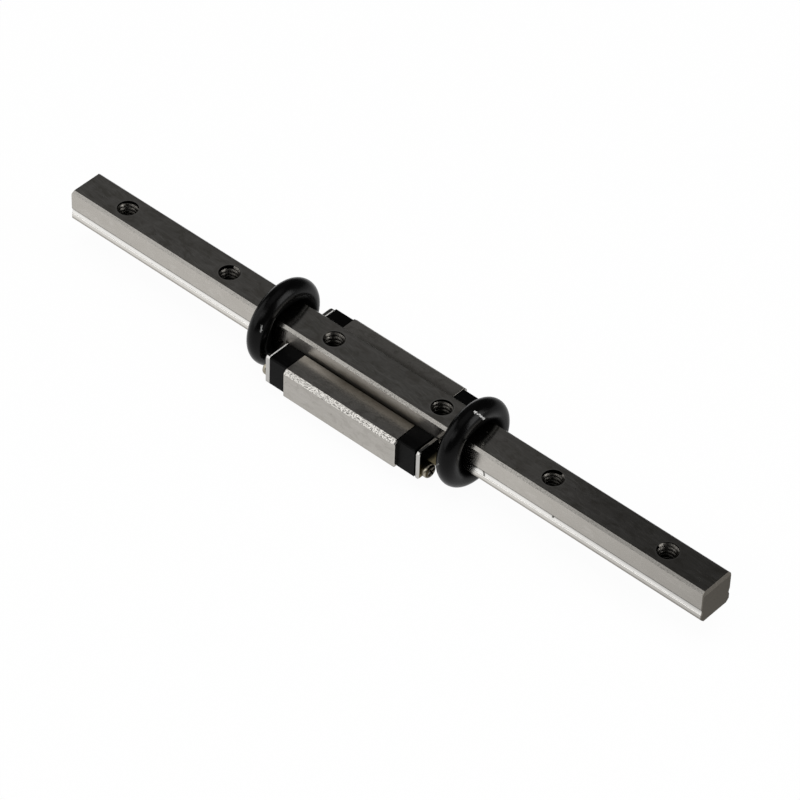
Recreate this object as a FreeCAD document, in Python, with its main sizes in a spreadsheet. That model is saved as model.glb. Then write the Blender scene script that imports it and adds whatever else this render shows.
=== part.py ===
# Miniature linear guide: a tapped rail lying with its mounting face up, a ball carriage hanging under it,
# and a rubber stop ring round the rail on either side of the carriage.
import FreeCAD, Part
import math
import os
import Sketcher

doc = FreeCAD.newDocument("guide_rail")

# Driving sizes in millimetres
SIZES = (
    ("rail_width", "2.9"),
    ("rail_height", "2.8"),
    ("hole_count", "6"),
    ("hole_pitch", "10.0"),
    ("end_distance", "4.25"),
    ("thread_diameter", "1.6"),
    ("rail_upper_chamfer", "0.2"),
    ("rail_lower_chamfer", "0.25"),
    ("rail_end_chamfer", "0.1"),
    ("rail_end_drop", "0.35"),
    ("ball_diameter", "0.9"),
    ("ball_clearance", "0.02"),
    ("ball_pitch", "1.2"),
    ("ball_offset", "0.39"),
    ("ball_height", "0.92"),
    ("block_width", "7.62"),
    ("block_height", "2.5"),
    ("block_length", "10.4"),
    ("block_drop", "1.25"),
    ("block_shift", "-1.12"),
    ("block_upper_chamfer", "0.31"),
    ("block_lower_chamfer", "0.12"),
    ("block_end_chamfer", "0.08"),
    ("slot_clearance", "0.19"),
    ("web_clearance", "0.25"),
    ("mounting_spacing_x", "5.0"),
    ("mounting_spacing_y", "5.4"),
    ("mounting_wall", "0.16"),
    ("cap_length", "1.56"),
    ("cap_inset", "0.34"),
    ("cap_lift", "0.03"),
    ("cap_clearance", "0.12"),
    ("cap_corner", "0.15"),
    ("plate_thickness", "0.44"),
    ("plate_inset", "0.34"),
    ("plate_drop", "0.04"),
    ("plate_clearance", "0.08"),
    ("plate_corner", "0.38"),
    ("plate_edge", "0.08"),
    ("screw_spacing", "5.48"),
    ("screw_height", "0.58"),
    ("screw_diameter", "0.6"),
    ("screw_clearance", "0.02"),
    ("screw_bite", "1.25"),
    ("screw_tip_room", "0.25"),
    ("head_diameter", "1.12"),
    ("head_height", "0.5"),
    ("head_chamfer", "0.15"),
    ("ring_diameter", "6.88"),
    ("ring_cord", "1.55"),
    ("left_ring_gap", "0.71"),
    ("right_ring_gap", "1.02"),
)
sheet = doc.addObject("Spreadsheet::Sheet", "sizes")
for row, (alias, number) in enumerate(SIZES, 1):
    sheet.set("A%d" % row, alias)
    sheet.set("B%d" % row, number)
    sheet.setAlias("B%d" % row, alias)
doc.recompute()

pieces = []


# A body whose place in the object follows the sizes
def new_body(label, x, y, z, turn=0):
    body = doc.addObject("PartDesign::Body", label)
    body.Label = label
    body.Placement = FreeCAD.Placement(
        FreeCAD.Vector(), FreeCAD.Rotation(FreeCAD.Vector(0, 0, 1), turn))
    body.setExpression("Placement.Base.x", x)
    body.setExpression("Placement.Base.y", y)
    body.setExpression("Placement.Base.z", z)
    pieces.append(body)
    return body


# A sketch on one of a body's own planes, moved along that plane or off it
def new_sketch(body, name, role, across="0", off="0"):
    sketch = body.newObject("Sketcher::SketchObject", name)
    plane = next(feature for feature in body.Origin.OriginFeatures if feature.Role == role)
    sketch.AttachmentSupport = [(plane, "")]
    sketch.MapMode = "FlatFace"
    sketch.setExpression("AttachmentOffset.Base.x", across)
    sketch.setExpression("AttachmentOffset.Base.z", off)
    return sketch


# A sketch point held at its two distances from the sketch's origin
def hold(sketch, curve, point, start, across, up):
    for kind, begin, size in (("DistanceX", start.x, across), ("DistanceY", start.y, up)):
        held = sketch.addConstraint(Sketcher.Constraint(kind, -1, 1, curve, point, begin))
        sketch.setExpression("Constraints[%d]" % held, size)


# A closed outline of straight lines through held corners
def draw_outline(sketch, corners):
    count = len(corners)
    turns = [2 * math.pi * number / count for number in range(count)]
    starts = [FreeCAD.Vector(math.cos(turn), math.sin(turn), 0) for turn in turns]
    lines = []
    for number, start in enumerate(starts):
        lines.append(sketch.addGeometry(Part.LineSegment(start, starts[(number + 1) % count])))
    for number, line in enumerate(lines):
        sketch.addConstraint(Sketcher.Constraint("Coincident", line, 2, lines[(number + 1) % count], 1))
    for line, start, (across, up) in zip(lines, starts, corners):
        hold(sketch, line, 1, start, across, up)


# A circle with a held centre
def draw_circle(sketch, across, up, radius):
    start = FreeCAD.Vector(1, 1, 0)
    curve = sketch.addGeometry(Part.Circle(start, FreeCAD.Vector(0, 0, 1), 1))
    held = sketch.addConstraint(Sketcher.Constraint("Radius", curve, 1))
    sketch.setExpression("Constraints[%d]" % held, radius)
    hold(sketch, curve, 3, start, across, up)


# A pad that runs both ways from its sketch, or one way
def pad(body, name, sketch, length, both_ways):
    feature = body.newObject("PartDesign::Pad", name)
    feature.Profile = sketch
    feature.SideType = "Symmetric" if both_ways else "One side"
    feature.setExpression("Length", length)
    doc.recompute()
    return feature


# A pocket that goes right through both ways, or to a depth, and must take something away
def pocket(body, name, sketch, depth=None, backwards=False):
    before = body.Shape.Volume
    feature = body.newObject("PartDesign::Pocket", name)
    feature.Profile = sketch
    if depth is None:
        feature.Type = "ThroughAll"
        feature.SideType = "Symmetric"
    else:
        feature.setExpression("Length", depth)
        feature.Reversed = backwards
    doc.recompute()
    if not body.Shape.Volume < before:
        raise RuntimeError("nothing was cut by " + name)
    return feature


# Chamfers round both end faces of a bar
def chamfer_ends(body, name, base, size):
    ends = []
    for number, face in enumerate(base.Shape.Faces, 1):
        if face.BoundBox.XLength < base.Shape.BoundBox.XLength / 2:
            ends.append("Face%d" % number)
    feature = body.newObject("PartDesign::Chamfer", name)
    feature.Base = (base, ends)
    feature.setExpression("Size", size)
    doc.recompute()
    return feature


# Rail: a ground bar
rail_floor = "(sizes.ring_diameter - sizes.rail_height) / 2"
rail_side = "sizes.rail_width / 2"
rail_length = "((sizes.hole_count - 1) * sizes.hole_pitch + 2 * sizes.end_distance)"
rail = new_body("rail", "0", "0", rail_floor)
section = new_sketch(rail, "rail_section", "YZ_Plane")
draw_outline(section, (
    (rail_side, "0"),
    (rail_side, "sizes.rail_height"),
    ("-" + rail_side, "sizes.rail_height"),
    ("-" + rail_side, "0"),
))
pad(rail, "rail_bar", section, rail_length, True)

# A steep chamfer across the upper edge of both rail ends
rail_end = rail_length + " / 2"
ends = new_sketch(rail, "rail_end_section", "XZ_Plane")
for sign in ("", "-"):
    draw_outline(ends, (
        (sign + rail_end, "sizes.rail_height"),
        (sign + rail_end, "sizes.rail_height - sizes.rail_end_drop"),
        (sign + "(" + rail_end + " - sizes.rail_end_chamfer)", "sizes.rail_height"),
    ))
pocket(rail, "rail_ends", ends)

# Ball grooves along both sides of the rail, near its lower face, and its four broken edges
ball_side = "(sizes.rail_width / 2 + sizes.ball_offset)"
groove_radius = "sizes.ball_diameter / 2 + sizes.ball_clearance"
grooves = new_sketch(rail, "rail_groove_section", "YZ_Plane")
for sign in ("", "-"):
    draw_circle(grooves, sign + ball_side, "sizes.ball_height", groove_radius)
    draw_outline(grooves, (
        (sign + rail_side, "0"),
        (sign + rail_side, "sizes.rail_lower_chamfer"),
        (sign + "(" + rail_side + " - sizes.rail_lower_chamfer)", "0"),
    ))
    draw_outline(grooves, (
        (sign + rail_side, "sizes.rail_height"),
        (sign + rail_side, "sizes.rail_height - sizes.rail_upper_chamfer"),
        (sign + "(" + rail_side + " - sizes.rail_upper_chamfer)", "sizes.rail_height"),
    ))
pocket(rail, "rail_grooves", grooves)

# Row of tapped holes right through the rail
thread_radius = "sizes.thread_diameter / 2"
places = new_sketch(rail, "first_hole_place", "XY_Plane")
draw_circle(places, "-(sizes.hole_count - 1) / 2 * sizes.hole_pitch", "0", thread_radius)
hole = pocket(rail, "first_hole", places)
holes = rail.newObject("PartDesign::LinearPattern", "tapped_holes")
holes.Originals = [hole]
holes.Direction = (places, ["H_Axis"])
holes.setExpression("Length", "(sizes.hole_count - 1) * sizes.hole_pitch")
holes.setExpression("Occurrences", "sizes.hole_count")
rail.Tip = holes
doc.recompute()

# Carriage block: a steel U that opens upwards around the lower part of the rail
carriage_floor = "((sizes.ring_diameter + sizes.rail_height) / 2 - sizes.block_drop - sizes.block_height)"
running_height = "(sizes.block_drop + sizes.block_height - sizes.rail_height)"
block_side = "sizes.block_width / 2"
slot_side = "(sizes.rail_width / 2 + sizes.slot_clearance)"
web_top = running_height + " - sizes.web_clearance"
block = new_body("carriage_block", "sizes.block_shift", "0", carriage_floor)
section = new_sketch(block, "block_section", "YZ_Plane")
draw_outline(section, (
    (block_side + " - sizes.block_lower_chamfer", "0"),
    (block_side, "sizes.block_lower_chamfer"),
    (block_side, "sizes.block_height - sizes.block_upper_chamfer"),
    (block_side + " - sizes.block_upper_chamfer", "sizes.block_height"),
    (slot_side, "sizes.block_height"),
    (slot_side, web_top),
    ("-" + slot_side, web_top),
    ("-" + slot_side, "sizes.block_height"),
    ("sizes.block_upper_chamfer - " + block_side, "sizes.block_height"),
    ("-" + block_side, "sizes.block_height - sizes.block_upper_chamfer"),
    ("-" + block_side, "sizes.block_lower_chamfer"),
    ("sizes.block_lower_chamfer - " + block_side, "0"),
))
bar = pad(block, "block_bar", section, "sizes.block_length", True)
chamfer_ends(block, "block_ends", bar, "sizes.block_end_chamfer")

# Ball grooves along the inside of both flanks
ball_level = running_height + " + sizes.ball_height"
grooves = new_sketch(block, "block_groove_section", "YZ_Plane")
draw_circle(grooves, ball_side, ball_level, groove_radius)
draw_circle(grooves, "-" + ball_side, ball_level, groove_radius)
pocket(block, "block_grooves", grooves)

# Four tapped holes in the block's mounting face, which points down
corner_x = "sizes.mounting_spacing_x / 2"
corner_y = "sizes.mounting_spacing_y / 2"
corners = new_sketch(block, "mounting_hole_places", "XY_Plane")
for across in (corner_x, "-" + corner_x):
    for up in (corner_y, "-" + corner_y):
        draw_circle(corners, across, up, thread_radius)
mounting_depth = ball_level + " - (" + groove_radius + ") - sizes.mounting_wall"
pocket(block, "mounting_holes", corners, mounting_depth, True)

# Screw holes in both ends of the block
screw_side = "sizes.screw_spacing / 2"
screw_bore = "sizes.screw_diameter / 2 + sizes.screw_clearance"
screw_reach = "sizes.screw_bite + sizes.screw_tip_room"
block_half = "sizes.block_length / 2"
for end, off, backwards in (("left", "-" + block_half, True), ("right", block_half, False)):
    places = new_sketch(block, end + "_screw_hole_places", "YZ_Plane", off=off)
    draw_circle(places, screw_side, "sizes.screw_height", screw_bore)
    draw_circle(places, "-" + screw_side, "sizes.screw_height", screw_bore)
    pocket(block, end + "_screw_holes", places, screw_reach, backwards)


# A U-shaped end piece of the carriage with round upper corners
def end_piece(label, x, length, inset, top, slot, corner):
    side = "(sizes.block_width / 2 - " + inset + ")"
    body = new_body(label, x, "0", carriage_floor)
    outline = new_sketch(body, label + "_section", "YZ_Plane")
    draw_outline(outline, (
        (side, "sizes.cap_lift"),
        (side, top),
        (slot, top),
        (slot, web_top),
        ("-" + slot, web_top),
        ("-" + slot, top),
        ("-" + side, top),
        ("-" + side, "sizes.cap_lift"),
    ))
    solid = pad(body, label + "_body", outline, length, False)
    box = solid.Shape.BoundBox
    upper = []
    for number, edge in enumerate(solid.Shape.Edges, 1):
        along = edge.BoundBox.XLength > box.XLength / 2
        outer = abs(edge.CenterOfMass.y) > box.YLength * 0.49
        if along and outer and edge.CenterOfMass.z > box.Center.z:
            upper.append("Edge%d" % number)
    rounding = body.newObject("PartDesign::Fillet", label + "_corners")
    rounding.Base = (solid, upper)
    rounding.setExpression("Radius", corner)
    doc.recompute()
    return body


# The two screw holes through an end piece
def drill_end_piece(body):
    places = new_sketch(body, body.Label + "_hole_places", "YZ_Plane")
    draw_circle(places, screw_side, "sizes.screw_height", screw_bore)
    draw_circle(places, "-" + screw_side, "sizes.screw_height", screw_bore)
    pocket(body, body.Label + "_holes", places)


# End caps, moulded, at the block's left and right ends
block_left = "sizes.block_shift - " + block_half
block_right = "sizes.block_shift + " + block_half
cap_slot = "(sizes.rail_width / 2 + sizes.cap_clearance)"
for label, x in (("left_end_cap", block_left + " - sizes.cap_length"), ("right_end_cap", block_right)):
    cap = end_piece(label, x, "sizes.cap_length", "sizes.cap_inset", "sizes.block_height", cap_slot,
                    "sizes.cap_corner")
    drill_end_piece(cap)

# End plates, stamped, over the caps, with the outer face's edge broken
plate_left = block_left + " - sizes.cap_length - sizes.plate_thickness"
plate_right = block_right + " + sizes.cap_length + sizes.plate_thickness"
plate_top = "(sizes.block_height - sizes.plate_drop)"
plate_slot = "(sizes.rail_width / 2 + sizes.plate_clearance)"
for label, x, outward in (
        ("left_end_plate", plate_left, -1), ("right_end_plate", block_right + " + sizes.cap_length", 1)):
    plate = end_piece(label, x, "sizes.plate_thickness", "sizes.plate_inset", plate_top, plate_slot,
                      "sizes.plate_corner")
    rounded = plate.Tip
    outer = []
    for number, face in enumerate(rounded.Shape.Faces, 1):
        flat = face.BoundBox.XLength < rounded.Shape.BoundBox.XLength / 2
        if flat and (face.CenterOfMass.x - rounded.Shape.BoundBox.Center.x) * outward > 0:
            outer.append("Face%d" % number)
    edge = plate.newObject("PartDesign::Chamfer", label + "_edge")
    edge.Base = (rounded, outer)
    edge.setExpression("Size", "sizes.plate_edge")
    doc.recompute()
    drill_end_piece(plate)

# Screws with a low head, through plate and cap into the block
shank = "(sizes.plate_thickness + sizes.cap_length + sizes.screw_bite)"
screw_level = carriage_floor + " + sizes.screw_height"
for end, x, turn in (("left", plate_left, 180), ("right", plate_right, 0)):
    for side, y in (("front", "-" + screw_side), ("rear", screw_side)):
        label = end + "_" + side + "_screw"
        screw = new_body(label, x, y, screw_level, turn)
        turned = new_sketch(screw, label + "_section", "XZ_Plane")
        draw_outline(turned, (
            ("-" + shank, "0"),
            ("sizes.head_height", "0"),
            ("sizes.head_height", "sizes.head_diameter / 2 - sizes.head_chamfer"),
            ("sizes.head_height - sizes.head_chamfer", "sizes.head_diameter / 2"),
            ("0", "sizes.head_diameter / 2"),
            ("0", "sizes.screw_diameter / 2"),
            ("-" + shank, "sizes.screw_diameter / 2"),
        ))
        turning = screw.newObject("PartDesign::Revolution", label + "_turned")
        turning.Profile = turned
        turning.ReferenceAxis = (turned, ["H_Axis"])
        doc.recompute()

# Two loaded rows of balls, as many as the block's length holds, each ball with few faces
ball_count = "(floor((sizes.block_length - sizes.ball_diameter) / sizes.ball_pitch) + 1)"
ball_row = "(" + ball_count + " - 1) * sizes.ball_pitch"
ball_flat = "sizes.ball_diameter / 2 * cos(22.5 deg)"
balls = new_body("bearing_balls", "sizes.block_shift - " + ball_row + " / 2", "0",
                 carriage_floor + " + " + ball_level)
balls.AllowCompound = True
section = new_sketch(balls, "ball_section", "YZ_Plane")
draw_outline(section, [
    (ball_side + " + sizes.ball_diameter / 2 * cos(%s deg)" % (22.5 + 45 * number),
     "sizes.ball_diameter / 2 * sin(%s deg)" % (22.5 + 45 * number)) for number in range(8)])
drum = pad(balls, "ball_drum", section, "2 * " + ball_flat, True)
chamfer_ends(balls, "ball_rounding", drum, ball_flat + " * (1 - tan(22.5 deg))")
row = balls.newObject("PartDesign::LinearPattern", "ball_row")
row.TransformMode = "Whole shape"
row.Direction = (next(f for f in balls.Origin.OriginFeatures if f.Role == "X_Axis"), [""])
row.setExpression("Length", ball_row)
row.setExpression("Occurrences", ball_count)
balls.Tip = row
doc.recompute()
rows = balls.newObject("PartDesign::Mirrored", "ball_rows")
rows.TransformMode = "Whole shape"
rows.MirrorPlane = (next(f for f in balls.Origin.OriginFeatures if f.Role == "XZ_Plane"), [""])
balls.Tip = rows
doc.recompute()

# Rubber stop rings round the rail, each a little way off the carriage's end, with the join in its cord
# turned up from the floor by its own angle. A ring gives way where the rail presses into it
ring_half = "sizes.ring_cord / 2"
left_join = 45
right_join = 49
left_ring = plate_left + " - sizes.left_ring_gap - " + ring_half
right_ring = plate_right + " + sizes.right_ring_gap + " + ring_half
rail_turn = FreeCAD.Rotation(FreeCAD.Vector(0, 1, 0), 90)
for label, x, join in (("left_stop_ring", left_ring, left_join), ("right_stop_ring", right_ring, right_join)):
    cord = doc.addObject("Part::Torus", label + "_cord")
    join_turn = FreeCAD.Rotation(FreeCAD.Vector(0, 0, 1), join)
    cord.Placement = FreeCAD.Placement(FreeCAD.Vector(), rail_turn.multiply(join_turn))
    cord.setExpression("Radius1", "sizes.ring_diameter / 2 - " + ring_half)
    cord.setExpression("Radius2", ring_half)
    cord.setExpression("Placement.Base.x", x)
    cord.setExpression("Placement.Base.z", "sizes.ring_diameter / 2")
    ring = doc.addObject("Part::Cut", label)
    ring.Label = label
    ring.Base = cord
    ring.Tool = rail
    pieces.append(ring)
doc.recompute()

# Every feature and every piece is sound before it is written
for feature in doc.Objects:
    if "Invalid" in feature.State or "Error" in feature.State:
        raise RuntimeError("feature not built: " + feature.Name)
os.makedirs("parts", exist_ok=True)
for piece in pieces:
    if piece.Shape.isNull() or not piece.Shape.isValid():
        raise RuntimeError("unsound shape: " + piece.Label)
    piece.Shape.exportStep(os.path.join("parts", piece.Label + ".step"))
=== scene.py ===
import math

import bmesh
import bpy
from mathutils import Matrix, Vector


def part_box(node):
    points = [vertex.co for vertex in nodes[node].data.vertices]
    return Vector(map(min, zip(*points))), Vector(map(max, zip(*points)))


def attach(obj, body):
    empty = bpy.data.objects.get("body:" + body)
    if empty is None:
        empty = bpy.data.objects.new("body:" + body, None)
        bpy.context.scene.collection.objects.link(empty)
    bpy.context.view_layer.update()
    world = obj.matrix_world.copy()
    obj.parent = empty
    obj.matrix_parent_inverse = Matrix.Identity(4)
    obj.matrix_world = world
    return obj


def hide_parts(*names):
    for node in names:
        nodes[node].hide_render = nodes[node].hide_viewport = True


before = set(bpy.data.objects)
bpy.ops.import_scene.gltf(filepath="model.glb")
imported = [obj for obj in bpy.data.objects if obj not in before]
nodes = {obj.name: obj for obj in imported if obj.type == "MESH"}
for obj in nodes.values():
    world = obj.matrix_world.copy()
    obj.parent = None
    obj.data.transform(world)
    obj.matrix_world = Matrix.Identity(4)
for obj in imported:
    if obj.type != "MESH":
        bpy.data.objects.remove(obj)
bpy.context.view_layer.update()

# Rail: a hardened steel bar, surface ground along its length, with its long edges broken by hand.
# A ball groove is ground and polished into either flank near the lower face, and the tapped
# mounting face lies upwards. Oil from the carriage dulls the flanks where it stands.
MM = 0.001


class Wire:
    """A socket of a material's tree. Sums and products of wires add their Math nodes."""

    def __init__(self, tree, socket=None):
        self.tree = tree
        self.socket = socket

    def node(self, kind, settings, sockets, output=0):
        made = self.tree.nodes.new(kind)
        for name, value in settings.items():
            setattr(made, name, value)
        for name, value in sockets.items():
            if isinstance(value, Wire):
                self.tree.links.new(value.socket, made.inputs[name])
            else:
                made.inputs[name].default_value = value
        return Wire(self.tree, made.outputs[output])

    def maths(self, operation, first, second):
        return self.node("ShaderNodeMath", {"operation": operation}, {0: first, 1: second})

    def __add__(self, other):
        return self.maths("ADD", self, other)

    def __radd__(self, other):
        return self.maths("ADD", other, self)

    def __sub__(self, other):
        return self.maths("SUBTRACT", self, other)

    def __rsub__(self, other):
        return self.maths("SUBTRACT", other, self)

    def __mul__(self, other):
        return self.maths("MULTIPLY", self, other)

    def __rmul__(self, other):
        return self.maths("MULTIPLY", other, self)

    def __abs__(self):
        return self.maths("ABSOLUTE", self, 0.0)


def new_finish(name):
    """A material, and the object's place in millimetres to start its expressions from."""
    material = bpy.data.materials.new(name)
    material.use_nodes = True
    place = Wire(material.node_tree).node("ShaderNodeTexCoord", {}, {}, "Object")
    return material, place.node("ShaderNodeVectorMath", {"operation": "SCALE"}, {0: place, "Scale": 1 / MM})


def part_of(place, letter):
    return place.node("ShaderNodeSeparateXYZ", {}, {0: place}, letter)


def rise(value, low, high):
    """0 below low, 1 above high, smooth between them."""
    return value.node("ShaderNodeMapRange", {"interpolation_type": "SMOOTHSTEP"},
                      {"Value": value, "From Min": low, "From Max": high})


def fall(value, low, high):
    """1 below low, 0 above high, smooth between them."""
    return 1 - rise(value, low, high)


def past(value, line, soft):
    """0 before a line and 1 past it, over a soft edge on either side of the line."""
    return rise(value, line - soft, line + soft)


def grain(place, stretch, detail=3.0, roughness=0.55, distortion=0.0):
    """Noise with the given number of grains to the millimetre along each axis."""
    placed = place.node("ShaderNodeVectorMath", {"operation": "MULTIPLY"}, {0: place, 1: stretch})
    return place.node("ShaderNodeTexNoise", {}, {
        "Vector": placed, "Scale": 1.0, "Detail": detail, "Roughness": roughness,
        "Distortion": distortion}, "Fac")


def tint(share, low, high):
    """The colour low where share is 0 and high where it is 1."""
    colours = [value if isinstance(value, Wire) else (*value, 1.0) for value in (low, high)]
    return share.node("ShaderNodeMix", {"data_type": "RGBA"}, {0: share, 6: colours[0], 7: colours[1]}, 2)


def lay_over(colour, coats):
    """A colour with coats laid over it in turn, each a share and a colour."""
    for share, laid in coats:
        colour = tint(share, colour, laid)
    return colour


def relief(height, depth):
    """A bump from a height of 0 to 1 that stands for depth millimetres."""
    return height.node("ShaderNodeBump", {}, {
        "Height": height, "Strength": 1.0, "Distance": depth * MM}, "Normal")


def set_shader(material, **sockets):
    """Links or sets the shader's sockets, named with _ for a space."""
    shader = material.node_tree.nodes["Principled BSDF"]
    for name, value in sockets.items():
        target = shader.inputs[name.replace("_", " ")]
        if isinstance(value, Wire):
            material.node_tree.links.new(value.socket, target)
        else:
            target.default_value = value


def dress(node, material):
    nodes[node].data.materials.clear()
    nodes[node].data.materials.append(material)


# Lengths are in millimetres, and a pair tells where a mark starts to change and where the change ends
rail_low, rail_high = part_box("rail")
rail_half_width = rail_high.y / MM
rail_half_length = rail_high.x / MM
rail_top = rail_high.z / MM
rail_bottom = rail_low.z / MM
rail_chamfer = 0.2
rail_end_chamfer = 0.1
groove_middle = rail_bottom + 0.92
groove_half = 0.26
groove_floor = rail_half_width - 0.14
hole_pitch = 10.0
hole_count = 6
hole_radius = 0.8
oil_middle = -0.8
oil_ends = (4.5, 5.6)
smear_middle = -1.1
smear_ends = (6.6, 7.4)
painted_sheen_heights = (3.8, 4.5)
oiled_heights = (3.4, 4.3)
painted_shade_run = (12.0, 21.0)
scratch_turn = 0.25

# Each nick has its place along the rail, its slant and the height of its foot from the groove's middle
groove_nicks = ((10.1, 0.3, -0.26), (16.25, -0.4, -0.12))

ground_dark = (0.375, 0.360, 0.335)
ground_light = (0.43, 0.414, 0.387)
ground_line = (0.33, 0.317, 0.294)
speck_pale = (0.56, 0.54, 0.51)
stain_brown = (0.25, 0.235, 0.205)
rubbed_pale = (0.62, 0.605, 0.58)
scratch_bright = (0.85, 0.83, 0.80)
flank_pale = (0.66, 0.625, 0.575)
painted_sheen_bright = (0.80, 0.77, 0.73)
oil_brown = (0.10, 0.085, 0.062)
pit_dark = (0.10, 0.095, 0.085)
edge_dark = (0.15, 0.144, 0.133)
edge_oily = (0.08, 0.076, 0.069)
edge_light = (0.25, 0.24, 0.223)
lip_painted_highlight = (0.80, 0.78, 0.74)
lip_painted_shade = (0.22, 0.21, 0.19)
raceway_dull = (0.80, 0.785, 0.755)
raceway_bright = (0.90, 0.885, 0.855)
nick_dark = (0.05, 0.046, 0.038)
painted_shade_dark = (0.03, 0.029, 0.026)
sawn_dark = (0.155, 0.142, 0.122)
sawn_light = (0.22, 0.203, 0.178)
rim_brown = (0.12, 0.108, 0.088)
burr_pale = (0.50, 0.485, 0.46)
bore_painted_shade = (0.07, 0.066, 0.058)

rail_steel, place = new_finish("rail_ground_steel")
side = abs(part_of(place, "Y"))
up = part_of(place, "Z")
along = part_of(place, "X")
grinding = grain(place, (0.08, 7.0, 7.0), 5.0, 0.65)
fine_lines = grain(place, (0.6, 30.0, 30.0), 2.0, 0.6)
cloud = grain(place, (0.2, 0.4, 0.4), 3.0)
speckle = grain(place, (5.0, 8.0, 8.0), 3.0, 0.7)
run_marks = grain(place, (0.3, 12.0, 12.0), 4.0, 0.7)
streaks = grain(place, (0.7, 6.0, 6.0), 4.0, 0.6)
stains = grain(place, (0.9, 1.5, 1.5), 5.0, 0.65, 0.6)
broken = grain(place, (10.0, 11.0, 11.0), 3.0, 0.7)
pits = rise(grain(place, (5.5, 5.5, 5.5), 2.0, 0.5), 0.72, 0.77)
turned_place = place.node("ShaderNodeMapping", {}, {"Vector": place, "Rotation": (0.0, 0.0, scratch_turn)})
scratches = rise(grain(turned_place, (0.9, 22.0, 22.0), 2.0, 0.5), 0.58, 0.66) * rise(cloud, 0.42, 0.58)

edge = past(side, rail_half_width - rail_chamfer, 0.02) * past(up, rail_top - rail_chamfer, 0.02)
end_face = rise(abs(along), rail_half_length - 0.02, rail_half_length - 0.005)
sawn_end = past(along, rail_half_length - rail_end_chamfer, 0.01) + end_face * fall(along, 0.0, 1.0)
from_groove = up - groove_middle
raceway = (fall(abs(from_groove), groove_half - 0.03, groove_half)
           * rise(side, groove_floor, groove_floor + 0.04) * (1 - end_face))
groove_rim = fall(abs(from_groove - groove_half), 0.015, 0.045)
lip = 1 - past(from_groove, -groove_half, 0.02)
lip_upper = lip * rise(up, rail_bottom + 0.36, rail_bottom + 0.48)
lip_lower = lip * fall(up, rail_bottom + 0.26, rail_bottom + 0.40)
flank = rise(side, rail_half_width - 0.03, rail_half_width - 0.01) * (1 - raceway)
beside = fall(abs(along - oil_middle), *oil_ends)
covered = beside * flank
smeared = fall(abs(along - smear_middle), *smear_ends) * flank
from_hole = along.maths("PINGPONG", along + hole_pitch / 2, hole_pitch / 2)
hole_span = side.maths("SQRT", from_hole * from_hole + side * side, 0.0)
bore = fall(hole_span, hole_radius + 0.01, hole_radius + 0.03) * fall(up, rail_top - 0.03, rail_top - 0.01)
burr = fall(hole_span, hole_radius + 0.05, hole_radius + 0.13) * (1 - bore)
nicks = 0.0
for nick_place, nick_slant, nick_foot in groove_nicks:
    from_nick = abs(along - nick_place + nick_slant * from_groove)
    nicks = fall(from_nick, 0.05, 0.11) * rise(from_groove, nick_foot, nick_foot + 0.1) + nicks
front_nicks = nicks * raceway * fall(part_of(place, "Y"), -1.0, 0.0)

ground = tint(rise(grinding * 0.4 + cloud * 0.3 + streaks * 0.3, 0.36, 0.64), ground_dark, ground_light)
ground = tint(rise(grinding * 0.5 + fine_lines * 0.5, 0.36, 0.62) * (1 - flank), ground_line, ground)
edge_dirt = tint(beside, edge_dark, edge_oily)
worn_edge = tint(rise(broken * 0.7 + cloud * 0.3, 0.38, 0.54), edge_dirt, edge_light)
steel = lay_over(ground, (
    (rise(speckle, 0.60, 0.72) * 0.25, speck_pale),
    (rise(stains, 0.48, 0.64) * (0.6 - 0.35 * flank), stain_brown),
    (fall(stains, 0.36, 0.46) * 0.22, rubbed_pale),
    (scratches * 0.25, scratch_bright),
    (flank * 0.45, flank_pale),
    # Painted sheen: the flanks beside the carriage are paler high up.
    (covered * rise(up + 0.5 * (stains - 0.5), *painted_sheen_heights) * 0.6, painted_sheen_bright),
    (covered * fall(up + 0.9 * (stains - 0.5), *oiled_heights) * 0.7, oil_brown),
    (pits * 0.6, pit_dark),
    (edge, worn_edge),
    # Painted highlight on the lip's upper part, and painted shade along its lower part.
    (lip_upper * 0.7, lip_painted_highlight),
    (lip_lower * 0.6, lip_painted_shade),
    (raceway, tint(rise(run_marks, 0.28, 0.62), raceway_dull, raceway_bright)),
    (front_nicks * 0.85, nick_dark),
    # Painted shade: the rail darkens towards its right end, most on its long edges.
    (rise(along, *painted_shade_run) * (0.06 + 0.32 * edge), painted_shade_dark),
    (sawn_end, tint(speckle, sawn_dark, sawn_light)),
    (groove_rim * flank * rise(broken, 0.45, 0.6) * 0.4, rim_brown),
    (burr * 0.5, burr_pale),
    # Painted shade on the walls inside the holes.
    (bore, bore_painted_shade)))
set_shader(
    rail_steel,
    Base_Color=steel,
    Metallic=1.0,
    Roughness=(0.08 + 0.07 * grinding + 0.05 * cloud + 0.05 * raceway + 0.12 * pits + 0.22 * sawn_end
               + 0.04 * edge + 0.09 * flank + 0.20 * smeared),
    Specular_Tint=(0.45, 0.45, 0.45, 1.0),
    Normal=relief((grinding * 0.4 + fine_lines * 0.3 - pits) * (1 - raceway)
                  + speckle * (edge + sawn_end), 0.004))
dress("rail", rail_steel)

# Tapped holes: a single-start thread is cut into each of the rail's six holes.
# Its ridge is painted dark as painted shade in the hole, paler near the mounting face and darkest further
# down, and it stops short of both faces.
thread_root = 0.795
thread_crest = 0.63
thread_pitch = 0.35
thread_foot = rail_bottom + 0.01
thread_flank = 0.14
crest_width = 0.05
ridge_width = 0.33
thread_steps = 36
thread_turn = 1.9
merge_distance = 1e-7
thread_painted_shade = (0.015, 0.014, 0.012)
thread_bright = (0.16, 0.152, 0.138)

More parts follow.
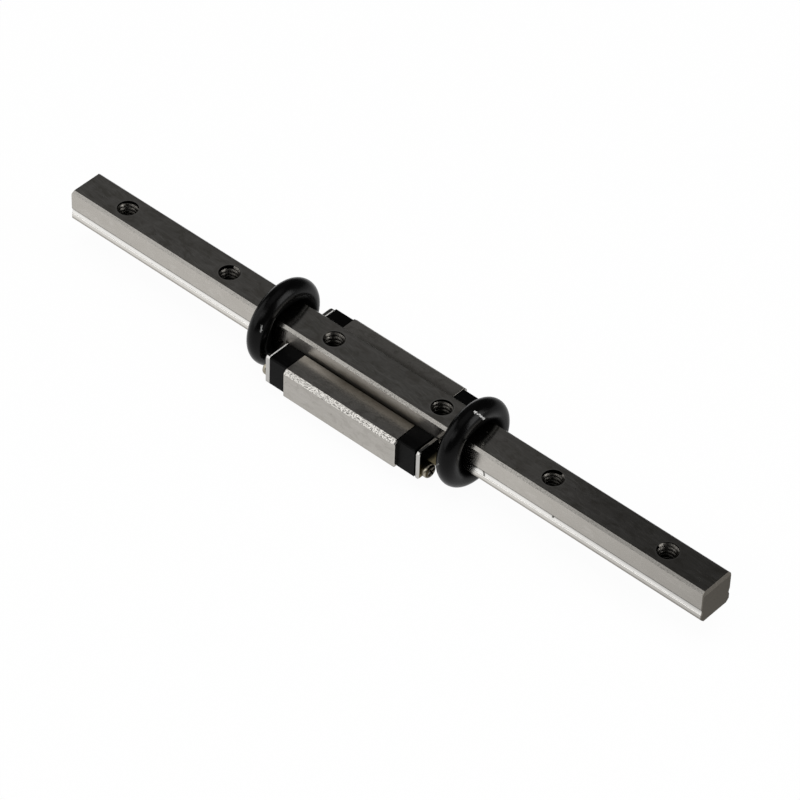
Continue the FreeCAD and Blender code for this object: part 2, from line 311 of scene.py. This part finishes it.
ridge = bmesh.new()
foot = ridge.verts.new((thread_root * MM, 0, thread_foot * MM))
crest_low = ridge.verts.new((thread_crest * MM, 0, (thread_foot + thread_flank) * MM))
crest_high = ridge.verts.new((thread_crest * MM, 0, (thread_foot + thread_flank + crest_width) * MM))
head = ridge.verts.new((thread_root * MM, 0, (thread_foot + ridge_width) * MM))
corners = [foot, crest_low, crest_high, head]
profile = [ridge.edges.new(pair) for pair in zip(corners, corners[1:])]
turns = int((rail_top - rail_bottom - ridge_width) / thread_pitch)
bmesh.ops.spin(
    ridge, geom=corners + profile, cent=(0, 0, 0), axis=(0, 0, 1), angle=2 * math.pi * turns,
    steps=thread_steps * turns, dvec=(0, 0, thread_pitch * MM / thread_steps), use_merge=False)
bmesh.ops.remove_doubles(ridge, verts=ridge.verts, dist=merge_distance)
first_verts = list(ridge.verts)
first_thread = first_verts + list(ridge.edges) + list(ridge.faces)
for number in range(hole_count):
    shift = (number - (hole_count - 1) / 2) * hole_pitch * MM
    copied = bmesh.ops.duplicate(ridge, geom=first_thread)["geom"]
    copied_verts = [item for item in copied if isinstance(item, bmesh.types.BMVert)]
    turn = Matrix.Rotation(thread_turn * number, 3, "Z")
    bmesh.ops.rotate(ridge, verts=copied_verts, cent=(0, 0, 0), matrix=turn)
    bmesh.ops.translate(ridge, verts=copied_verts, vec=(shift, 0, 0))
bmesh.ops.delete(ridge, geom=first_verts, context="VERTS")


def make_piece(shape, name, material, smooth=True):
    """Turns a bmesh into an object with its place in its mesh."""
    mesh = bpy.data.meshes.new(name)
    shape.to_mesh(mesh)
    shape.free()
    mesh.materials.append(material)
    for face in mesh.polygons:
        face.use_smooth = smooth
    piece = bpy.data.objects.new(name, mesh)
    bpy.context.scene.collection.objects.link(piece)
    return piece


thread_steel, place = new_finish("tapped_thread_steel")
torn = grain(place, (14.0, 14.0, 14.0), 3.0, 0.6)
# Painted shade: the thread is paler near the mounting face and darkest further down the hole.
clear_of_painted_shade = rise(part_of(place, "Z"), rail_top - 1.5, rail_top - 0.2)
set_shader(
    thread_steel,
    Base_Color=tint(clear_of_painted_shade * rise(torn, 0.3, 0.7), thread_painted_shade, thread_bright),
    Metallic=1.0,
    Roughness=0.22 + 0.2 * torn,
    Normal=relief(torn, 0.006))
threads = make_piece(ridge, "rail_threads", thread_steel)
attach(threads, "rail")

# Carriage block: a hardened steel U that hangs under the rail, ground along its length on every outer face.
# Its upper outer corners are chamfered and left sandy from the blasting, and oil creeps out of the slot.
# Two screws at each end hold the caps to it.
block_low, block_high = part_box("carriage_block")
block_half_width = block_high.y / MM
block_half_length = (block_high.x - block_low.x) / 2 / MM
block_middle = (block_high.x + block_low.x) / 2 / MM
block_top = block_high.z / MM
block_chamfer = 0.31
block_end_chamfer = 0.08
creep_sides = (1.9, 3.0)
creep_run = (-6.5, -2.0)

block_dark = (0.42, 0.402, 0.372)
block_light = (0.475, 0.455, 0.424)
block_stain = (0.24, 0.226, 0.198)
block_pit = (0.12, 0.114, 0.10)
sand_dark = (0.065, 0.062, 0.055)
sand_bright = (0.64, 0.62, 0.585)
creep_brown = (0.09, 0.080, 0.065)
cut_dark = (0.010, 0.0095, 0.0085)

block_steel, place = new_finish("carriage_ground_steel")
side = abs(part_of(place, "Y"))
up = part_of(place, "Z")
along = part_of(place, "X")
grinding = grain(place, (0.13, 6.5, 6.5), 5.0, 0.65)
fine_lines = grain(place, (0.7, 27.0, 27.0), 2.0, 0.6)
cloud = grain(place, (0.3, 0.55, 0.55), 3.0)
streaks = grain(place, (0.8, 5.0, 5.0), 4.0, 0.6)
stains = grain(place, (1.1, 1.6, 1.6), 5.0, 0.65, 0.6)
pits = rise(grain(place, (4.0, 4.0, 4.0), 2.0, 0.5), 0.73, 0.78)
sand = rise(grain(place, (13.0, 13.0, 13.0), 3.0, 0.75), 0.41, 0.50)
chamfer_side = block_half_width - block_chamfer
chamfer_foot = block_top - block_chamfer
bevelled = rise(side, chamfer_side - 0.03, chamfer_side + 0.02) * rise(
    up, chamfer_foot - 0.03, chamfer_foot + 0.02)
upper_face = rise(up, block_top - 0.04, block_top - 0.02)
creeping = fall(side + 0.5 * (stains - 0.5), *creep_sides) * rise(along, *creep_run) * upper_face
cut_end = past(abs(along - block_middle), block_half_length - block_end_chamfer, 0.02) * rise(
    up, block_top - 0.12, block_top - 0.08)

ground = tint(rise(grinding * 0.4 + streaks * 0.3 + cloud * 0.3, 0.36, 0.64), block_dark, block_light)
set_shader(
    block_steel,
    Base_Color=lay_over(ground, (
        (rise(stains, 0.48, 0.64) * (0.2 + 0.3 * upper_face), block_stain),
        (pits * 0.6, block_pit),
        (bevelled, tint(sand, sand_dark, sand_bright)),
        (creeping * 0.85, creep_brown),
        (cut_end, cut_dark))),
    Metallic=1.0,
    Roughness=0.12 + 0.10 * grinding + 0.06 * streaks + 0.06 * cloud + 0.16 * bevelled,
    Specular_Tint=(0.4, 0.4, 0.4, 1.0),
    Normal=relief(grinding * 0.4 + fine_lines * 0.3 + bevelled * sand - pits, 0.004))
dress("carriage_block", block_steel)

# Ball rows: steel balls that run between the rail's grooves and the block's, painted dark as painted shade
# in the slots.
# They show only as a dull glint deep in the two slots beside the rail.
ball_radius = 0.45
ball_pitch = 1.2
ball_count = 8
ball_side = 1.84
ball_low, ball_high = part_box("bearing_balls")
ball_middle = (ball_low + ball_high) / 2
ball_painted_shade_dark = (0.05, 0.046, 0.038)
ball_painted_shade_light = (0.11, 0.103, 0.088)

row = bmesh.new()
for number in range(ball_count):
    shift = (number - (ball_count - 1) / 2) * ball_pitch * MM
    for sign in (-1, 1):
        seat = Matrix.Translation((ball_middle.x + shift, sign * ball_side * MM, ball_middle.z))
        bmesh.ops.create_icosphere(row, subdivisions=3, radius=ball_radius * MM, matrix=seat)
ball_steel, place = new_finish("polished_ball_steel")
haze = grain(place, (6.0, 6.0, 6.0), 3.0)
set_shader(
    ball_steel,
    # Painted shade: the balls' colour is darkened deep in the slots.
    Base_Color=tint(haze, ball_painted_shade_dark, ball_painted_shade_light),
    Metallic=1.0,
    Roughness=0.26 + 0.12 * haze)
balls = make_piece(row, "round_bearing_balls", ball_steel)
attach(balls, "carriage")
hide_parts("bearing_balls")

# End caps: black glass-filled plastic mouldings that turn the balls round at the block's ends.
# Their skin is matt, with a faint flow grain and a few paler grazes.
cap_black = (0.0008, 0.0008, 0.0008)
cap_soot = (0.0020, 0.0020, 0.0020)
cap_graze = (0.02, 0.02, 0.02)

cap_plastic, place = new_finish("moulded_black_plastic")
skin = grain(place, (11.0, 11.0, 11.0), 3.0, 0.6)
flow = grain(place, (1.2, 3.0, 1.2), 3.0)
grazes = rise(grain(place, (2.5, 14.0, 14.0), 2.0, 0.5), 0.66, 0.74)
set_shader(
    cap_plastic,
    Base_Color=tint(grazes * 0.4, tint(flow, cap_black, cap_soot), cap_graze),
    Roughness=0.26 + 0.12 * skin + 0.08 * flow,
    Specular_IOR_Level=0.045,
    Normal=relief(skin, 0.006))
dress("left_end_cap", cap_plastic)
dress("right_end_cap", cap_plastic)

# End plates: thin stainless sheet, stamped and tumbled, which clamp the caps against the block.
# The stamp rolls the right plate's inner edge over. A bright line on top of the left one is a painted
# highlight, and the outer faces are painted dark as a painted reflection of the dark rings, browner towards
# the screws.
plate_left_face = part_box("left_end_plate")[0].x / MM
plate_left_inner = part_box("left_end_plate")[1].x / MM
plate_right_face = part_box("right_end_plate")[1].x / MM
plate_middle = (plate_left_face + plate_right_face) / 2
plate_reach = (plate_right_face - plate_left_face) / 2
plate_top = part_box("left_end_plate")[1].z / MM
rolled_radius = 0.18
sharp_corner = math.radians(60)
flat_corner = math.radians(1)
screw_room = 0.42
screw_seats = [(low + high) / 2 for low, high in (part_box("left_front_screw"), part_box("left_rear_screw"))]
painted_reflection_heights = (1.8, 2.6)

plate_dull = (0.44, 0.431, 0.415)
plate_bright = (0.53, 0.52, 0.50)
scuff_grey = (0.34, 0.332, 0.316)
plate_rim_painted_shade = (0.06, 0.057, 0.052)
painted_reflection_brown = (0.14, 0.118, 0.07)
painted_reflection_black = (0.003, 0.0029, 0.0025)
painted_highlight_pale = (0.62, 0.61, 0.59)

plate_steel, place = new_finish("stamped_stainless")
along = part_of(place, "X")
up = part_of(place, "Z")
frost = grain(place, (10.0, 10.0, 10.0), 4.0, 0.65)
cloud = grain(place, (1.5, 1.5, 1.5), 2.0)
scuffs = rise(grain(place, (4.0, 12.0, 3.0), 3.0, 0.6), 0.60, 0.72)
outer_face = rise(abs(along - plate_middle), plate_reach - 0.03, plate_reach - 0.01)
upper_rim = rise(up, plate_top - 0.10, plate_top - 0.04)
# Painted highlight: a bright line along the top of the left plate, at its inner side.
painted_highlight_line = upper_rim * rise(along, plate_left_inner - 0.15, plate_left_inner - 0.10) * fall(
    along, plate_left_inner, plate_left_inner + 0.05)
stamped_rim = tint(scuffs, tint(cloud, plate_dull, plate_bright), scuff_grey)
# Painted reflection on the outer faces: near black up high, brown lower down towards the screws.
painted_reflection = tint(rise(up + 0.5 * (cloud - 0.5), *painted_reflection_heights), painted_reflection_brown, painted_reflection_black)
set_shader(
    plate_steel,
    Base_Color=lay_over(stamped_rim, (
        # Painted shade on the plates' top rims.
        (upper_rim * 0.7, plate_rim_painted_shade),
        (outer_face, painted_reflection),
        (painted_highlight_line, painted_highlight_pale))),
    Metallic=1.0 - 0.9 * painted_highlight_line,
    Roughness=0.08 + 0.10 * frost + 0.10 * scuffs + 0.10 * outer_face,
    Specular_Tint=(0.5, 0.5, 0.5, 1.0),
    Normal=relief(frost, 0.003))


def on_rolled_edge(vert, face):
    """Whether a plate's corner lies on its inner face and outside the screw holes' edges."""
    spans = [math.hypot(vert.co.y - seat.y, vert.co.z - seat.z) for seat in screw_seats]
    return abs(vert.co.x - face) < merge_distance and min(spans) > screw_room * MM


for node in ("left_end_plate", "right_end_plate"):
    stamped = bmesh.new()
    stamped.from_mesh(nodes[node].data)
    bmesh.ops.remove_doubles(stamped, verts=stamped.verts, dist=merge_distance)
    bmesh.ops.dissolve_limit(stamped, angle_limit=flat_corner, verts=stamped.verts, edges=stamped.edges)
    if node == "right_end_plate":
        inner_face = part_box(node)[0].x
        rolled = [line for line in stamped.edges if line.calc_face_angle(0.0) > sharp_corner
                  and all(on_rolled_edge(vert, inner_face) for vert in line.verts)]
        bmesh.ops.bevel(stamped, geom=rolled, offset=rolled_radius * MM, affect="EDGES", segments=6,
                        profile=0.5, material=-1)
    plate = make_piece(stamped, "stamped_" + node, plate_steel, False)
    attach(plate, "carriage")
    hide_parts(node)

# Screws: plain steel with a low round head and a cross recess, two at each end, through plate and cap.
# The head is turned, so its rim has fine rings, and its face and recess hold dark oil.
head_radius = 0.56
head_height = 0.50
head_rounding = 0.18
shank_radius = 0.30
screw_steps = 40
recess_length = 0.68
recess_width = 0.16
recess_depth = 0.25
recess_turn = 0.5

screw_pale = (0.40, 0.37, 0.30)
screw_dull = (0.20, 0.18, 0.14)
head_brown = (0.09, 0.07, 0.036)
head_black = (0.025, 0.02, 0.012)

screw_steel, place = new_finish("turned_screw_steel")
head_end = plate_reach + head_height
head_face = rise(abs(part_of(place, "X") - plate_middle), head_end - 0.12, head_end - 0.04)
turned_rings = grain(place, (16.0, 2.0, 2.0), 3.0, 0.6)
oil = grain(place, (5.0, 5.0, 5.0), 3.0)
head_side = tint(rise(oil, 0.35, 0.7), screw_pale, screw_dull)
set_shader(
    screw_steel,
    Base_Color=tint(head_face, head_side, tint(oil, head_brown, head_black)),
    Metallic=1.0,
    Roughness=0.22 + 0.18 * turned_rings,
    Normal=relief(turned_rings, 0.004))

for end, sign in (("left", -1), ("right", 1)):
    for place_name in ("front", "rear"):
        node = end + "_" + place_name + "_screw"
        low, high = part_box(node)
        middle = (low + high) / 2
        face = high.x if sign > 0 else -low.x
        tip = low.x if sign > 0 else -high.x
        blank = bmesh.new()
        corners = [blank.verts.new(point) for point in (
            (tip, 0, 0),
            (tip, 0, shank_radius * MM),
            (face - head_height * MM, 0, shank_radius * MM),
            (face - head_height * MM, 0, head_radius * MM),
            (face, 0, head_radius * MM),
            (face, 0, 0))]
        lines = [blank.edges.new(pair) for pair in zip(corners, corners[1:])]
        bmesh.ops.spin(blank, geom=corners + lines, cent=(0, 0, 0), axis=(1, 0, 0), angle=2 * math.pi,
                       steps=screw_steps, use_merge=True)
        bmesh.ops.remove_doubles(blank, verts=blank.verts, dist=merge_distance)
        bmesh.ops.recalc_face_normals(blank, faces=blank.faces)
        rim_verts = [vert for vert in blank.verts if abs(vert.co.x - face) < merge_distance
                     and math.hypot(vert.co.y, vert.co.z) > shank_radius * MM]
        rim = [line for line in blank.edges if all(vert in rim_verts for vert in line.verts)]
        bmesh.ops.bevel(blank, geom=rim, offset=head_rounding * MM, affect="EDGES", segments=4,
                        profile=0.5, material=-1)
        bmesh.ops.scale(blank, vec=(sign, sign, 1), verts=blank.verts)
        bmesh.ops.translate(blank, vec=(0, middle.y, middle.z), verts=blank.verts)
        screw = make_piece(blank, "turned_" + node, screw_steel)

        cross = bmesh.new()
        for length, width in ((recess_length, recess_width), (recess_width, recess_length)):
            bar = bmesh.ops.create_cube(cross, size=1.0)["verts"]
            bmesh.ops.scale(cross, vec=(2 * recess_depth * MM, length * MM, width * MM), verts=bar)
            bmesh.ops.rotate(cross, verts=bar, cent=(0, 0, 0), matrix=Matrix.Rotation(recess_turn, 3, "X"))
            bmesh.ops.translate(cross, vec=(sign * face, middle.y, middle.z), verts=bar)
        punch = make_piece(cross, "cross_punch", screw_steel, False)
        cut = screw.modifiers.new("cross_recess", "BOOLEAN")
        cut.object = punch
        cut.operation = "DIFFERENCE"
        cut.use_self = True
        punched = screw.evaluated_get(bpy.context.evaluated_depsgraph_get())
        whole = bpy.data.meshes.new_from_object(punched)
        screw.modifiers.clear()
        screw.data = whole
        bpy.data.objects.remove(punch)
        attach(screw, "carriage")
        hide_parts(node)

# Stop rings: black rubber O-rings pushed over the rail on either side of the carriage, to keep it there.
# They are moulded, with a satin skin and a little lint, and their inner side is pressed flat and matt
# where it grips the rail; that matt black is partly painted shade, wider on the left ring's lower half.

# Each thread of lint has its two ends, its thickness and how pale it is
lint_threads = (
    ((8.22, -0.37, 6.78), (8.51, -0.16, 6.47), 0.10, 1.0),
    ((8.51, -0.16, 6.47), (8.65, 0.11, 6.07), 0.10, 1.0),
    ((-9.30, -2.75, 5.18), (-9.24, -2.91, 4.75), 0.07, 0.5),
    ((7.43, -3.29, 3.30), (7.75, -3.42, 3.70), 0.06, 0.3))
ring_low, ring_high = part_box("left_stop_ring")
ring_axis = (ring_low.z + ring_high.z) / 2 / MM
grip_spans = (2.1, 2.55)
grip_room = 0.05
grip_half_width = rail_half_width + grip_room
grip_half_height = (rail_top - rail_bottom) / 2 + grip_room
grip_power = 8
cord_steps = 48
hoop_steps = 128

rubber_black = (0.0006, 0.0006, 0.0006)
rubber_bloom = (0.0014, 0.0014, 0.0014)
dust_grey = (0.06, 0.06, 0.06)
lint_pale = (0.45, 0.45, 0.44)
grip_and_shade_black = (0.0012, 0.0012, 0.0012, 1.0)

ring_rubber, place = new_finish("moulded_black_rubber")
skin = grain(place, (8.0, 8.0, 8.0), 4.0, 0.6)
bloom = grain(place, (0.8, 0.8, 0.8), 3.0)
dust = rise(grain(place, (16.0, 16.0, 16.0), 2.0, 0.5), 0.72, 0.80)
frayed = grain(place, (9.0, 9.0, 9.0), 3.0, 0.6)
lint = 0.0
for first, last, thickness, paleness in lint_threads:
    run = Vector(last) - Vector(first)
    from_first = place.node("ShaderNodeVectorMath", {"operation": "SUBTRACT"}, {0: place, 1: first})
    share = place.node("ShaderNodeVectorMath", {"operation": "DOT_PRODUCT"},
                       {0: from_first, 1: run / run.length_squared}, "Value")
    share = place.node("ShaderNodeMath", {"operation": "ADD", "use_clamp": True}, {0: share, 1: 0.0})
    nearest = place.node("ShaderNodeVectorMath", {"operation": "SCALE"}, {0: run, "Scale": share})
    away = place.node("ShaderNodeVectorMath", {"operation": "DISTANCE"},
                      {0: from_first, 1: nearest}, "Value")
    lint = paleness * fall(away + 0.3 * (frayed - 0.5), thickness * 0.5, thickness) + lint
across = part_of(place, "Y")
above = part_of(place, "Z") - ring_axis
span = above.maths("SQRT", across * across + above * above, 0.0)
shaded = fall(above, -0.5, 1.5) * fall(part_of(place, "X"), -1.0, 1.0)
# The matt black is the grip's matt skin and also painted shade, widened on the left ring's lower half.
grip_and_painted_shade = fall(span - 0.3 * shaded, *grip_spans)
bare_rubber = tint(bloom, rubber_black, rubber_bloom)
set_shader(
    ring_rubber,
    Base_Color=lay_over(bare_rubber, ((dust * 0.2, dust_grey), (lint, lint_pale))),
    Roughness=0.17 + 0.06 * skin + 0.08 * bloom + 0.45 * grip_and_painted_shade,
    Specular_IOR_Level=0.11,
    Normal=relief(skin + lint, 0.005))
satin = Wire(place.tree, ring_rubber.node_tree.nodes["Principled BSDF"].outputs[0])
matt = place.node("ShaderNodeBsdfDiffuse", {}, {"Color": grip_and_shade_black, "Roughness": 0.5})
matt_grip_and_shade = place.node("ShaderNodeMixShader", {}, {0: grip_and_painted_shade * 0.9, 1: satin, 2: matt})
place.tree.links.new(matt_grip_and_shade.socket, place.tree.nodes["Material Output"].inputs["Surface"])

for node, body in (("left_stop_ring", "left_stop"), ("right_stop_ring", "right_stop")):
    low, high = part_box(node)
    middle = (low + high) / 2
    cord_radius = (high.x - low.x) / 2
    hoop_radius = (high.z - low.z) / 2 - cord_radius
    hoop = bmesh.new()
    cord_turn = Matrix.Rotation(math.pi / 2, 4, "X")
    cord_seat = Matrix.Translation((middle.x, 0, middle.z + hoop_radius)) @ cord_turn
    bmesh.ops.create_circle(hoop, segments=cord_steps, radius=cord_radius, matrix=cord_seat)
    bmesh.ops.spin(hoop, geom=list(hoop.verts) + list(hoop.edges), cent=(0, 0, middle.z), axis=(1, 0, 0),
                   angle=2 * math.pi, steps=hoop_steps, use_merge=True)
    bmesh.ops.remove_doubles(hoop, verts=hoop.verts, dist=merge_distance)
    bmesh.ops.recalc_face_normals(hoop, faces=hoop.faces)
    for vert in hoop.verts:
        out = vert.co.y
        lift = vert.co.z - middle.z
        reach = math.hypot(out, lift)
        if reach < hoop_radius:
            grip = ((abs(out) / reach / grip_half_width) ** grip_power
                    + (abs(lift) / reach / grip_half_height) ** grip_power) ** (-1 / grip_power)
            pressed = hoop_radius - (hoop_radius - reach) * (hoop_radius - grip * MM) / cord_radius
            vert.co.y = out * pressed / reach
            vert.co.z = middle.z + lift * pressed / reach
    ring = make_piece(hoop, "moulded_" + node, ring_rubber)
    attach(ring, body)
    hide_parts(node)

# Studio: a pale sheet under the rail that runs out of view on all sides and keeps the rail's soft shadow.
# The camera sees it as white. The metal sees it white in front of the rail and grey behind it and far off,
# a fall of painted light on the sheet.
sheet_half = 1.5
sheet_pale = (0.82, 0.82, 0.82, 1.0)
glow_white = (1.0, 1.0, 1.0)
glow_grey = (0.45, 0.45, 0.45)
front_way = (-0.64, -0.77, 0.0)
front_fade = (-26.0, 0.0)
far_fade = (60.0, 150.0)

sheet_paint, place = new_finish("pale_floor")
set_shader(sheet_paint, Base_Color=sheet_pale, Roughness=0.9, Specular_IOR_Level=0.1)
straight = place.node("ShaderNodeLightPath", {}, {}, "Is Camera Ray")
mirrored = place.node("ShaderNodeLightPath", {}, {}, "Is Glossy Ray")
through = place.node("ShaderNodeLightPath", {}, {}, "Is Transmission Ray")
to_front = place.node("ShaderNodeVectorMath", {"operation": "DOT_PRODUCT"},
                      {0: place, 1: front_way}, "Value")
away = place.node("ShaderNodeVectorMath", {"operation": "LENGTH"}, {0: place}, "Value")
# Painted light on the sheet as the metal sees it.
lit = rise(to_front, *front_fade) * fall(away, *far_fade)
glow = place.node("ShaderNodeEmission", {}, {
    "Color": tint(mirrored, glow_white, tint(lit, glow_grey, glow_white)), "Strength": 1.0})
seen = straight * 0.96 + mirrored * 0.85 + through * 0.93
paint = Wire(place.tree, sheet_paint.node_tree.nodes["Principled BSDF"].outputs[0])
blend = place.node("ShaderNodeMixShader", {}, {0: seen, 1: paint, 2: glow})
place.tree.links.new(blend.socket, place.tree.nodes["Material Output"].inputs["Surface"])
sheet_shape = bmesh.new()
bmesh.ops.create_grid(sheet_shape, x_segments=1, y_segments=1, size=sheet_half)
floor = make_piece(sheet_shape, "pale_floor", sheet_paint, False)

# Light: a broad soft box in front with a strip above it, a smaller box to the right, a dim card behind
# on the left, a dim card on the ceiling and a lamp overhead. The steel mirrors all but the lamp,
# which lights what is matt. Angles are in degrees, sizes in metres and powers in watts.
world_grey = (0.062, 0.062, 0.062, 1.0)
for name, azimuth, elevation, distance, width, height, power, mirrored_too in (
        ("right_softbox", 113, 22, 0.50, 0.264, 0.40, 1.49, True),
        ("front_softbox", -44, 25, 0.50, 0.62, 0.40, 1.25, True),
        ("front_strip", 5, 42, 0.50, 0.35, 0.15, 0.30, True),
        ("back_card", -126.6, 42.5, 0.1218, 0.072, 0.09, 0.0012, True),
        ("ceiling_card", 0, 88, 0.60, 0.50, 0.50, 0.35, True),
        ("overhead_lamp", 0, 89, 0.50, 0.40, 0.40, 1.6, False)):
    lamp = bpy.data.lights.new(name, "AREA")
    lamp.shape = "RECTANGLE"
    lamp.size = width
    lamp.size_y = height
    lamp.energy = power
    stand = bpy.data.objects.new(name, lamp)
    turn = math.radians(azimuth)
    lift = math.radians(elevation)
    stand.location = distance * Vector(
        (math.sin(turn) * math.cos(lift), -math.cos(turn) * math.cos(lift), math.sin(lift)))
    stand.rotation_euler = stand.location.to_track_quat("Z", "Y").to_euler()
    stand.visible_glossy = mirrored_too
    bpy.context.scene.collection.objects.link(stand)
studio = bpy.data.worlds.new("studio")
studio.use_nodes = True
studio.node_tree.nodes["Background"].inputs["Color"].default_value = world_grey
bpy.context.scene.world = studio

# Camera: a long lens above and to the right of the rail, turned a little about its own axis.
# Its place, turn and lens are fitted to the row of holes and to the rail's edges in the picture.
camera_place = (0.146314, -0.170543, 0.216364)
camera_turn = (46.3707, -1.5105, 41.8336)
lens = bpy.data.cameras.new("camera")
lens.lens = 201.47
lens.sensor_width = 36.0
lens.clip_start = 0.01
camera = bpy.data.objects.new("camera", lens)
camera.location = camera_place
camera.rotation_euler = [math.radians(angle) for angle in camera_turn]
bpy.context.scene.collection.objects.link(camera)
bpy.context.scene.camera = camera
bpy.context.scene.view_settings.view_transform = "Standard"
